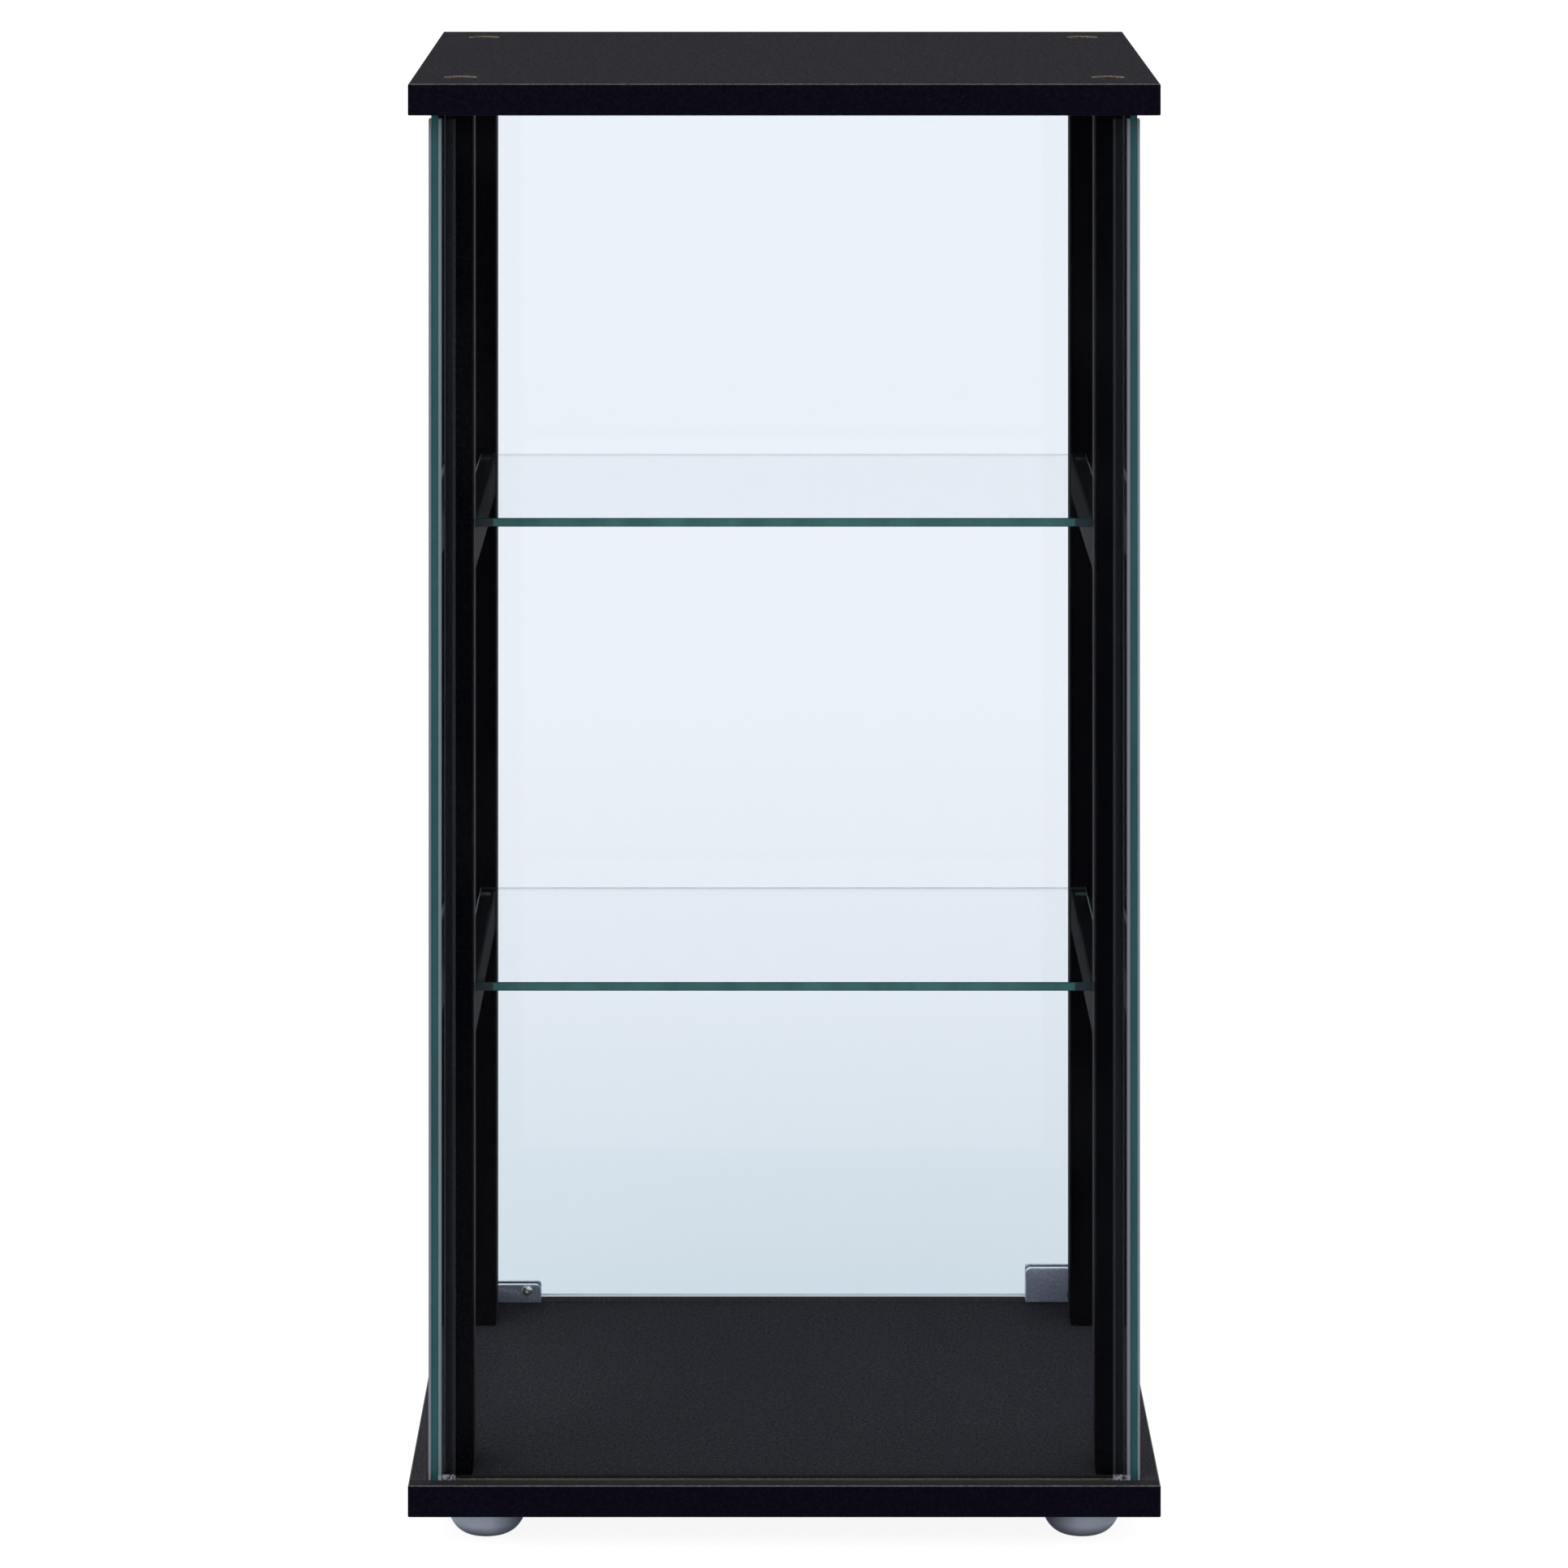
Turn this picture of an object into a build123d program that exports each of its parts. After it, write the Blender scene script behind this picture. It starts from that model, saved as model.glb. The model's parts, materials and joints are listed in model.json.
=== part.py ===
"""Tower display case: two black boards joined by four posts, glazed on all four sides.

Millimetres, +Z up. The origin is on the floor, under the middle of the case.
-Y is the front, with the fixed pane, and +Y is the rear, with the door.
Left is -X and right is +X, as seen from the front.
"""
import os

from build123d import *

# Boards, feet and overall size
CASE_W = 425.0
CASE_D = 368.0
FOOT_H = 21.0
BOARD_T = 18.0
INNER_H = 773.0
BOARD_EDGE_R = 0.8

# Glass
PANE_T = 4.0
SHELF_T = 5.0
GLASS_ARRIS = 0.4

# Grooves in the boards that hold the fixed panes, and the panes in them
GROOVE_DEPTH = 5.0
GROOVE_FRONT_INSET = 9.5
GROOVE_FRONT_W = 9.3
GROOVE_FRONT_HALF_L = 202.0
SIDE_PANE_X = 196.0
SIDE_GROOVE_GAP = 0.2
PANE_FRONT_INSET = 12.5
SIDE_PANE_REAR_INSET = 12.5
FRONT_PANE_HALF_W = 192.5
PANE_TOP_GAP = 0.6

# Ladder frames: posts and shelf rails
POST_T = 16.0
POST_D = 40.0
POST_INNER_X = 177.0
FRONT_POST_INSET = 19.0
REAR_POST_INSET = 23.0
FRAME_EDGE_R = 1.5
RAIL_H = 24.0
DOWEL_R = 3.0
DOWEL_HOLE_R = 3.05
DOWEL_L = 30.0
DOWEL_HOLE_D = 16.0
DOWEL_DZ = 6.0

# Shelves and their pads
SHELF_HALF_W = 186.0
SHELF_END_GAP = 0.5
SHELF_UNDERSIDES = (264.9, 531.4)
PAD_R = 4.0
PAD_T = 1.0
PAD_X = 183.0
PAD_INSET = 12.0

# Bolts through the boards into the posts
BOLT_INSET = 43.0
BOLT_R = 3.0
BOLT_L = 25.0
BOLT_HEAD_R = 5.0
BOLT_HEAD_H = 6.0
BOLT_SOCKET_R = 2.9
BOLT_SOCKET_D = 3.0
BOLT_HOLE_R = 3.3
COUNTERBORE_R = 9.2
COUNTERBORE_D = 9.0
WASHER_R = 8.0
WASHER_HOLE_R = 3.2
WASHER_T = 1.5
INSERT_R = 5.0
INSERT_BORE_R = 3.05
INSERT_L = 13.0
INSERT_HOLE_D = 20.0

# Feet and their screws
FOOT_X = 169.6
FOOT_INSET = 43.0
FOOT_R = 23.0
FOOT_FLAT_R = 10.0
FOOT_DOME_H = 18.0
FOOT_RECESS_R = 5.5
FOOT_RECESS_D = 11.0
FOOT_BORE_R = 2.3
FOOT_SCREW_R = 2.0
FOOT_SCREW_PILOT_R = 2.03
FOOT_SCREW_PILOT_D = 13.0
FOOT_SCREW_GRIP = 12.0
FOOT_SCREW_HEAD_R = 4.2
FOOT_SCREW_HEAD_H = 2.6

# Corner strips round the front edges of the side panes
STRIP_FACE_INSET = 10.5
STRIP_REAR_INSET = 18.2
STRIP_OUTER_X = 201.5
STRIP_LIP_X = 186.2
STRIP_INNER_LEG_X = 193.3
STRIP_CHANNEL_GAP = 0.15
STRIP_LIP_T = 1.5
STRIP_TOP_GAP = 3.0
STRIP_EDGE_R = 0.6

# Rear door and its pivots
DOOR_HALF_W = 193.0
DOOR_FACE_INSET = 12.0
DOOR_CORNER_R = 2.0
PIVOT_X = -185.0
CLIP_GAP = 0.5
CLIP_WALL = 3.0
CLIP_FLOOR = 2.5
CLIP_L = 42.0
CLIP_H = 10.9
CLIP_CORNER_R = 3.0
LINER_T = 0.5
PIN_R = 2.5
PIN_L = 12.5
BUSH_R = 4.5
BUSH_D = 12.0
BUSH_BORE_R = 2.55
BUSH_BORE_EXTRA = 0.1
BUSH_FLANGE_R = 6.0
BUSH_FLANGE_T = 0.45
CLIP_SCREW_X = -159.4
CLIP_SCREW_Z = 7.3
CLIP_SCREW_R = 2.0
CLIP_SCREW_HEAD_R = 3.4
CLIP_SCREW_HEAD_H = 1.8
CLIP_SCREW_DOME_R = 1.1

# Cross recess in a screw head, as shares of the head's radius and height
CROSS_L = 1.1
CROSS_W = 0.22
CROSS_D = 0.55

# Strike plate on the door and the sprung touch latch in the post
STRIKE_L = 42.0
STRIKE_H = 21.5
LATCH_X = 182.7
LATCH_UP = 7.0
LATCH_BARREL_R = 4.6
LATCH_BARREL_L = 12.0
LATCH_FLANGE_R = 6.0
LATCH_FLANGE_T = 1.5
LATCH_BORE_R = 3.2
LATCH_BORE_FLOOR = 1.2
PLUNGER_R = 3.15
PLUNGER_STEM_L = 10.8
PLUNGER_TIP_R = 4.0
PLUNGER_TIP_T = 1.4
PLUNGER_GAP = 0.1
MAGNET_R = 2.5
MAGNET_T = 1.0
SPRING_R = 2.3
SPRING_WIRE_R = 0.3
SPRING_TURNS = 4

# Places worked out from the sizes above
FRONT_Y = -CASE_D / 2
REAR_Y = CASE_D / 2
FLOOR_Z = FOOT_H + BOARD_T
CEILING_Z = FLOOR_Z + INNER_H
MIDDLE = Plane.XY.offset((FLOOR_Z + CEILING_Z) / 2)
POST_X = POST_INNER_X + POST_T / 2
FRONT_POST_Y = (FRONT_Y + FRONT_POST_INSET, FRONT_Y + FRONT_POST_INSET + POST_D)
REAR_POST_Y = (REAR_Y - REAR_POST_INSET - POST_D, REAR_Y - REAR_POST_INSET)
RAIL_Y = (FRONT_POST_Y[1], REAR_POST_Y[0])
PANE_Y = FRONT_Y + PANE_FRONT_INSET
PANE_Z = (FLOOR_Z - GROOVE_DEPTH, CEILING_Z + GROOVE_DEPTH - PANE_TOP_GAP)
DOOR_Y = (REAR_Y - DOOR_FACE_INSET, REAR_Y - DOOR_FACE_INSET + PANE_T)
PIVOT_Y = sum(DOOR_Y) / 2
CLIP_Z = FLOOR_Z + CLIP_GAP
CLIP_Y = (DOOR_Y[0] - LINER_T - CLIP_WALL, DOOR_Y[1] + LINER_T + CLIP_WALL)
DOOR_BOTTOM_Z = CLIP_Z + CLIP_FLOOR + LINER_T
DOOR_TOP_Z = FLOOR_Z + CEILING_Z - DOOR_BOTTOM_Z
BOLT_POINTS = [
    (x, y)
    for x in (-POST_X, POST_X)
    for y in (FRONT_Y + BOLT_INSET, REAR_Y - BOLT_INSET)
]
FOOT_POINTS = {
    "foot_front_left": (-FOOT_X, FRONT_Y + FOOT_INSET),
    "foot_front_right": (FOOT_X, FRONT_Y + FOOT_INSET),
    "foot_rear_left": (-FOOT_X, REAR_Y - FOOT_INSET),
    "foot_rear_right": (FOOT_X, REAR_Y - FOOT_INSET),
}
LEVELS = {
    "lower": FLOOR_Z + SHELF_UNDERSIDES[0],
    "upper": FLOOR_Z + SHELF_UNDERSIDES[1],
}
SIDES = {"left": -1, "right": 1}
LATCH_Z = FLOOR_Z + LATCH_UP
PLUNGER_FACE_Y = CLIP_Y[0] - PLUNGER_GAP


def slab(x, y, z, mode=Mode.ADD):
    """Box between two values on each axis, in the part being built."""
    with Locations((sum(x) / 2, sum(y) / 2, sum(z) / 2)):
        Box(abs(x[1] - x[0]), abs(y[1] - y[0]), abs(z[1] - z[0]), mode=mode)


def cross(head_r):
    """Two crossed slots, in the sketch being drawn."""
    Rectangle(CROSS_L * head_r, CROSS_W * head_r)
    Rectangle(CROSS_W * head_r, CROSS_L * head_r)


def at_height(z, points):
    """The same plan points at height z."""
    return [(x, y, z) for x, y in points]


def save(part, name):
    """Labels a finished piece and writes its STEP file."""
    part.label = name
    export_step(part, f"parts/{name}.step")


def mirrored(part, about):
    """Mirror image of a finished piece."""
    with BuildPart() as copy:
        mirror(part, about=about)
    return copy.part


def make_board():
    """Base board without its foot screw holes; the top board is its mirror image."""
    with BuildPart() as board:
        slab((-CASE_W / 2, CASE_W / 2), (FRONT_Y, REAR_Y), (FOOT_H, FLOOR_Z))
        fillet(board.edges(), BOARD_EDGE_R)
        groove_z = (FLOOR_Z - GROOVE_DEPTH, FLOOR_Z)
        front = FRONT_Y + GROOVE_FRONT_INSET
        slab(
            (-GROOVE_FRONT_HALF_L, GROOVE_FRONT_HALF_L),
            (front, front + GROOVE_FRONT_W),
            groove_z,
            Mode.SUBTRACT,
        )
        for side in SIDES.values():
            near = side * (SIDE_PANE_X - SIDE_GROOVE_GAP)
            far = side * (SIDE_PANE_X + PANE_T + SIDE_GROOVE_GAP)
            rear = REAR_Y - SIDE_PANE_REAR_INSET + SIDE_GROOVE_GAP
            slab((near, far), (front, rear), groove_z, Mode.SUBTRACT)
        with Locations(*at_height(FOOT_H, BOLT_POINTS)):
            Cylinder(BOLT_HOLE_R, 2 * BOARD_T, mode=Mode.SUBTRACT)
            Cylinder(COUNTERBORE_R, 2 * COUNTERBORE_D, mode=Mode.SUBTRACT)
        with Locations((PIVOT_X, PIVOT_Y, FLOOR_Z)):
            Cylinder(BUSH_R, 2 * BUSH_D, mode=Mode.SUBTRACT)
    return board.part


def make_base_board():
    with BuildPart() as base_board:
        add(make_board())
        with Locations(*at_height(FOOT_H, FOOT_POINTS.values())):
            Cylinder(FOOT_SCREW_PILOT_R, 2 * FOOT_SCREW_PILOT_D, mode=Mode.SUBTRACT)
    return base_board.part


def make_pane(x, y, z):
    """Sheet of glass with its sharp edges taken off."""
    with BuildPart() as pane:
        slab(x, y, z)
        chamfer(pane.edges(), GLASS_ARRIS)
    return pane.part


def make_corner_strip():
    """Right-hand strip: one channel for the side pane and one for the front pane."""
    face = FRONT_Y + STRIP_FACE_INSET
    web = PANE_Y - STRIP_CHANNEL_GAP
    rear = FRONT_Y + STRIP_REAR_INSET
    lip = rear - STRIP_LIP_T
    outer_channel = SIDE_PANE_X + PANE_T + STRIP_CHANNEL_GAP
    inner_channel = SIDE_PANE_X - STRIP_CHANNEL_GAP
    outline = [
        (STRIP_LIP_X, face),
        (STRIP_OUTER_X, face),
        (STRIP_OUTER_X, rear),
        (outer_channel, rear),
        (outer_channel, web),
        (inner_channel, web),
        (inner_channel, rear),
        (STRIP_LIP_X, rear),
        (STRIP_LIP_X, lip),
        (STRIP_INNER_LEG_X, lip),
        (STRIP_INNER_LEG_X, web),
        (STRIP_LIP_X, web),
    ]
    with BuildPart() as strip:
        with BuildSketch(Plane.XY.offset(FLOOR_Z - GROOVE_DEPTH)) as profile:
            with BuildLine():
                Polyline(*outline, close=True)
            make_face()
            fillet(profile.vertices().group_by(Axis.Y)[0], STRIP_EDGE_R)
        extrude(amount=GROOVE_DEPTH + INNER_H - STRIP_TOP_GAP)
    return strip.part


def make_post(side, y, rail_face, latch_hole=False):
    """Upright of a ladder frame, drilled for inserts, dowels and perhaps the latch."""
    inward = 1 if rail_face == y[1] else -1
    with BuildPart() as post:
        slab((side * POST_INNER_X, side * (POST_INNER_X + POST_T)), y, (FLOOR_Z, CEILING_Z))
        fillet(post.edges().filter_by(Axis.Z), FRAME_EDGE_R)
        bolts = [(px, py) for px, py in BOLT_POINTS if px * side > 0 and y[0] < py < y[1]]
        with Locations(*at_height(FLOOR_Z, bolts), *at_height(CEILING_Z, bolts)):
            Cylinder(INSERT_R, 2 * INSERT_HOLE_D, mode=Mode.SUBTRACT)
        with BuildSketch(Plane.XZ.offset(-rail_face)):
            with Locations(*dowel_points(side)):
                Circle(DOWEL_HOLE_R)
        extrude(amount=inward * DOWEL_HOLE_D, mode=Mode.SUBTRACT)
        if latch_hole:
            with BuildSketch(Plane.XZ.offset(-y[1])):
                with Locations((LATCH_X, LATCH_Z)):
                    Circle(LATCH_BARREL_R)
            extrude(amount=LATCH_BARREL_L, mode=Mode.SUBTRACT)
    return post.part


def dowel_points(side, levels=tuple(LEVELS)):
    """Dowel centres on a post's face, as X and Z."""
    middles = [LEVELS[level] - PAD_T - RAIL_H / 2 for level in levels]
    return [(side * POST_X, z + dz) for z in middles for dz in (-DOWEL_DZ, DOWEL_DZ)]


def make_rail(side, level):
    top = LEVELS[level] - PAD_T
    with BuildPart() as rail:
        slab((side * POST_INNER_X, side * (POST_INNER_X + POST_T)), RAIL_Y, (top - RAIL_H, top))
        fillet(rail.edges().filter_by(Axis.Y), FRAME_EDGE_R)
        for face_y, inward in ((RAIL_Y[0], -1), (RAIL_Y[1], 1)):
            with BuildSketch(Plane.XZ.offset(-face_y)):
                with Locations(*dowel_points(side, (level,))):
                    Circle(DOWEL_HOLE_R)
            extrude(amount=inward * DOWEL_HOLE_D, mode=Mode.SUBTRACT)
    return rail.part


def make_dowels():
    with BuildPart() as frame_dowels:
        for face_y in RAIL_Y:
            for side in SIDES.values():
                with BuildSketch(Plane.XZ.offset(-face_y)):
                    with Locations(*dowel_points(side)):
                        Circle(DOWEL_R)
                extrude(amount=DOWEL_L / 2, both=True)
        ends = frame_dowels.edges().filter_by(GeomType.CIRCLE)
        chamfer(ends, GLASS_ARRIS)
    return frame_dowels.part


def make_shelf(level):
    z = LEVELS[level]
    y = (RAIL_Y[0] + SHELF_END_GAP, RAIL_Y[1] - SHELF_END_GAP)
    return make_pane((-SHELF_HALF_W, SHELF_HALF_W), y, (z, z + SHELF_T))


def make_shelf_pads(level):
    points = [
        (x, y)
        for x in (-PAD_X, PAD_X)
        for y in (RAIL_Y[0] + PAD_INSET, RAIL_Y[1] - PAD_INSET)
    ]
    with BuildPart() as shelf_pads:
        with BuildSketch(Plane.XY.offset(LEVELS[level] - PAD_T)):
            with Locations(*points):
                Circle(PAD_R)
        extrude(amount=PAD_T)
    return shelf_pads.part


def make_base_bolts():
    seat = FOOT_H + COUNTERBORE_D - WASHER_T
    with BuildPart() as bolts:
        with BuildSketch(Plane.XY.offset(seat)):
            with Locations(*BOLT_POINTS):
                Circle(BOLT_R)
        extrude(amount=BOLT_L)
        with BuildSketch(Plane.XY.offset(seat)):
            with Locations(*BOLT_POINTS):
                Circle(BOLT_HEAD_R)
        extrude(amount=-BOLT_HEAD_H)
        with BuildSketch(Plane.XY.offset(seat - BOLT_HEAD_H)):
            with Locations(*BOLT_POINTS):
                RegularPolygon(BOLT_SOCKET_R, 6)
        extrude(amount=BOLT_SOCKET_D, mode=Mode.SUBTRACT)
    return bolts.part


def make_rings(points, z, height, outer_r, inner_r):
    """Row of identical rings standing on height z."""
    with BuildPart() as rings:
        with BuildSketch(Plane.XY.offset(z)):
            with Locations(*points):
                Circle(outer_r)
                Circle(inner_r, mode=Mode.SUBTRACT)
        extrude(amount=height)
    return rings.part


def make_post_inserts():
    """Threaded inserts in both ends of every post."""
    with BuildPart() as post_inserts:
        lower = make_rings(BOLT_POINTS, FLOOR_Z, INSERT_L, INSERT_R, INSERT_BORE_R)
        add(lower)
        mirror(lower, about=MIDDLE)
    return post_inserts.part


def make_foot(centre):
    """Domed foot with a deep screw recess in its flat underside."""
    with BuildPart() as foot:
        with BuildSketch(Plane(origin=(*centre, 0), x_dir=(1, 0, 0), z_dir=(0, -1, 0))):
            with BuildLine():
                Polyline((FOOT_FLAT_R, 0), (0, 0), (0, FOOT_H), (FOOT_R, FOOT_H), (FOOT_R, FOOT_DOME_H))
                EllipticalCenterArc(
                    (FOOT_FLAT_R, FOOT_DOME_H),
                    FOOT_R - FOOT_FLAT_R,
                    FOOT_DOME_H,
                    start_angle=270,
                    arc_size=90,
                )
            make_face()
        revolve(axis=Axis((*centre, 0), (0, 0, 1)))
        with Locations((*centre, 0)):
            Cylinder(FOOT_RECESS_R, 2 * FOOT_RECESS_D, mode=Mode.SUBTRACT)
            Cylinder(FOOT_BORE_R, 2 * FOOT_H, mode=Mode.SUBTRACT)
    return foot.part


def make_foot_screws():
    """Cross-head screws, heads down, through the feet into the base board."""
    seat = FOOT_RECESS_D
    head_z = seat - FOOT_SCREW_HEAD_H
    with BuildPart() as foot_screws:
        with BuildSketch(Plane.XY.offset(seat)):
            with Locations(*FOOT_POINTS.values()):
                Circle(FOOT_SCREW_R)
        extrude(amount=FOOT_H - seat + FOOT_SCREW_GRIP)
        with BuildSketch(Plane.XY.offset(seat)):
            with Locations(*FOOT_POINTS.values()):
                Circle(FOOT_SCREW_HEAD_R)
        extrude(amount=-FOOT_SCREW_HEAD_H)
        with BuildSketch(Plane.XY.offset(head_z)):
            with Locations(*FOOT_POINTS.values()):
                cross(FOOT_SCREW_HEAD_R)
        extrude(amount=CROSS_D * FOOT_SCREW_HEAD_H, mode=Mode.SUBTRACT)
    return foot_screws.part


def make_door_glass():
    with BuildPart() as door_glass:
        slab((-DOOR_HALF_W, DOOR_HALF_W), DOOR_Y, (DOOR_BOTTOM_Z, DOOR_TOP_Z))
        fillet(door_glass.edges().filter_by(Axis.Y), DOOR_CORNER_R)
        chamfer(door_glass.faces().filter_by(Axis.Y).edges(), GLASS_ARRIS)
    return door_glass.part


def make_clip(x, height):
    """U-shaped metal clip round the door's lower edge, open at the top."""
    with BuildPart() as clip:
        slab(x, CLIP_Y, (CLIP_Z, CLIP_Z + height))
        top_corners = clip.edges().filter_by(Axis.Y).group_by(Axis.Z)[-1]
        fillet(top_corners, CLIP_CORNER_R)
        slot_y = (CLIP_Y[0] + CLIP_WALL, CLIP_Y[1] - CLIP_WALL)
        slab(x, slot_y, (CLIP_Z + CLIP_FLOOR, CLIP_Z + height), Mode.SUBTRACT)
    return clip.part


def make_liner(x, height):
    """Soft channel between a clip and the glass."""
    with BuildPart() as liner:
        outer_y = (CLIP_Y[0] + CLIP_WALL, CLIP_Y[1] - CLIP_WALL)
        floor_z = CLIP_Z + CLIP_FLOOR
        slab(x, outer_y, (floor_z, CLIP_Z + height))
        slab(x, DOOR_Y, (DOOR_BOTTOM_Z, CLIP_Z + height), Mode.SUBTRACT)
    return liner.part


def make_hinge_clip():
    """Lower hinge clip, with the pin's hole in its floor and the screw's in its inner wall."""
    with BuildPart() as hinge_clip:
        add(make_clip((-DOOR_HALF_W, -DOOR_HALF_W + CLIP_L), CLIP_H))
        with Locations((PIVOT_X, PIVOT_Y, CLIP_Z)):
            Cylinder(PIN_R, 2 * CLIP_FLOOR, mode=Mode.SUBTRACT)
        with BuildSketch(Plane.XZ.offset(-CLIP_Y[0])):
            with Locations((CLIP_SCREW_X, CLIP_Z + CLIP_SCREW_Z)):
                Circle(CLIP_SCREW_R)
        extrude(amount=-CLIP_WALL, mode=Mode.SUBTRACT)
    return hinge_clip.part


def make_hinge_pin():
    top = CLIP_Z + CLIP_FLOOR
    with BuildPart() as hinge_pin:
        with BuildSketch(Plane.XY.offset(top)):
            with Locations((PIVOT_X, PIVOT_Y)):
                Circle(PIN_R)
        extrude(amount=-PIN_L)
        chamfer(hinge_pin.edges().group_by(Axis.Z)[0], GLASS_ARRIS)
    return hinge_pin.part


def make_pivot_bush():
    """Flanged plastic bush in the base board, closed below the pin."""
    bore_z = CLIP_Z + CLIP_FLOOR - PIN_L - BUSH_BORE_EXTRA
    with BuildPart() as pivot_bush:
        with BuildSketch(Plane.XY.offset(FLOOR_Z)):
            with Locations((PIVOT_X, PIVOT_Y)):
                Circle(BUSH_R)
        extrude(amount=-BUSH_D)
        with BuildSketch(Plane.XY.offset(FLOOR_Z)):
            with Locations((PIVOT_X, PIVOT_Y)):
                Circle(BUSH_FLANGE_R)
        extrude(amount=BUSH_FLANGE_T)
        with BuildSketch(Plane.XY.offset(bore_z)):
            with Locations((PIVOT_X, PIVOT_Y)):
                Circle(BUSH_BORE_R)
        extrude(amount=BUSH_D + BUSH_FLANGE_T, mode=Mode.SUBTRACT)
    return pivot_bush.part


def make_clip_screw():
    """Cross-head screw through the inner wall of the lower hinge clip."""
    centre = (CLIP_SCREW_X, CLIP_Z + CLIP_SCREW_Z)
    with BuildPart() as clip_screw:
        with BuildSketch(Plane.XZ.offset(-CLIP_Y[0])):
            with Locations(centre):
                Circle(CLIP_SCREW_R)
        extrude(amount=-CLIP_WALL)
        with BuildSketch(Plane.XZ.offset(-CLIP_Y[0])):
            with Locations(centre):
                Circle(CLIP_SCREW_HEAD_R)
        extrude(amount=CLIP_SCREW_HEAD_H)
        rim = clip_screw.edges().filter_by(GeomType.CIRCLE).group_by(Axis.Y)[0]
        fillet(rim, CLIP_SCREW_DOME_R)
        with BuildSketch(Plane.XZ.offset(-CLIP_Y[0] + CLIP_SCREW_HEAD_H)):
            with Locations(centre):
                cross(CLIP_SCREW_HEAD_R)
        extrude(amount=-CROSS_D * CLIP_SCREW_HEAD_H, mode=Mode.SUBTRACT)
    return clip_screw.part


def make_lower_and_upper(part):
    """A piece at the lower hinge and its mirror image at the upper one."""
    with BuildPart() as pair:
        add(part)
        mirror(part, about=MIDDLE)
    return pair.part


def make_latch_body():
    """Flanged barrel set in the rear face of the right rear post."""
    face = REAR_POST_Y[1]
    with BuildPart() as latch_body:
        with BuildSketch(Plane.XZ.offset(-face)):
            with Locations((LATCH_X, LATCH_Z)):
                Circle(LATCH_BARREL_R)
        extrude(amount=LATCH_BARREL_L)
        with BuildSketch(Plane.XZ.offset(-face)):
            with Locations((LATCH_X, LATCH_Z)):
                Circle(LATCH_FLANGE_R)
        extrude(amount=-LATCH_FLANGE_T)
        with BuildSketch(Plane.XZ.offset(-face - LATCH_FLANGE_T)):
            with Locations((LATCH_X, LATCH_Z)):
                Circle(LATCH_BORE_R)
        extrude(amount=LATCH_BARREL_L + LATCH_FLANGE_T - LATCH_BORE_FLOOR, mode=Mode.SUBTRACT)
    return latch_body.part


def make_latch_plunger():
    with BuildPart() as latch_plunger:
        with BuildSketch(Plane.XZ.offset(-PLUNGER_FACE_Y)):
            with Locations((LATCH_X, LATCH_Z)):
                Circle(PLUNGER_TIP_R)
        extrude(amount=PLUNGER_TIP_T)
        with BuildSketch(Plane.XZ.offset(-PLUNGER_FACE_Y + PLUNGER_TIP_T)):
            with Locations((LATCH_X, LATCH_Z)):
                Circle(PLUNGER_R)
        extrude(amount=PLUNGER_STEM_L)
        with BuildSketch(Plane.XZ.offset(-PLUNGER_FACE_Y)):
            with Locations((LATCH_X, LATCH_Z)):
                Circle(MAGNET_R)
        extrude(amount=MAGNET_T, mode=Mode.SUBTRACT)
    return latch_plunger.part


def make_latch_magnet():
    with BuildPart() as latch_magnet:
        with BuildSketch(Plane.XZ.offset(-PLUNGER_FACE_Y)):
            with Locations((LATCH_X, LATCH_Z)):
                Circle(MAGNET_R)
        extrude(amount=MAGNET_T)
    return latch_magnet.part


def make_latch_spring():
    """Coil between the barrel's closed end and the plunger's stem."""
    start = REAR_POST_Y[1] - LATCH_BARREL_L + LATCH_BORE_FLOOR + SPRING_WIRE_R
    end = PLUNGER_FACE_Y - PLUNGER_TIP_T - PLUNGER_STEM_L - SPRING_WIRE_R
    length = end - start
    with BuildPart() as latch_spring:
        with BuildLine() as coil:
            Helix(
                length / SPRING_TURNS,
                length,
                SPRING_R,
                center=(LATCH_X, start, LATCH_Z),
                direction=(0, 1, 0),
            )
        with BuildSketch(Plane(origin=coil.line @ 0, z_dir=coil.line % 0)):
            Circle(SPRING_WIRE_R)
        sweep()
    return latch_spring.part


os.makedirs("parts", exist_ok=True)

# Boards and glass
save(make_base_board(), "base_board")
save(mirrored(make_board(), MIDDLE), "top_board")
save(
    make_pane((-FRONT_PANE_HALF_W, FRONT_PANE_HALF_W), (PANE_Y, PANE_Y + PANE_T), PANE_Z),
    "front_glass",
)
side_pane = make_pane(
    (SIDE_PANE_X, SIDE_PANE_X + PANE_T), (PANE_Y, REAR_Y - SIDE_PANE_REAR_INSET), PANE_Z
)
save(side_pane, "side_glass_right")
save(mirrored(side_pane, Plane.YZ), "side_glass_left")
corner_strip = make_corner_strip()
save(corner_strip, "corner_strip_right")
save(mirrored(corner_strip, Plane.YZ), "corner_strip_left")

# Ladder frames
for side_name, side in SIDES.items():
    save(make_post(side, FRONT_POST_Y, FRONT_POST_Y[1]), f"post_front_{side_name}")
    rear_post = make_post(side, REAR_POST_Y, REAR_POST_Y[0], latch_hole=side > 0)
    save(rear_post, f"post_rear_{side_name}")
    for level in LEVELS:
        save(make_rail(side, level), f"shelf_rail_{level}_{side_name}")
save(make_dowels(), "frame_dowels")

# Shelves
for level in LEVELS:
    save(make_shelf(level), f"shelf_{level}")
    save(make_shelf_pads(level), f"shelf_pads_{level}")

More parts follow.
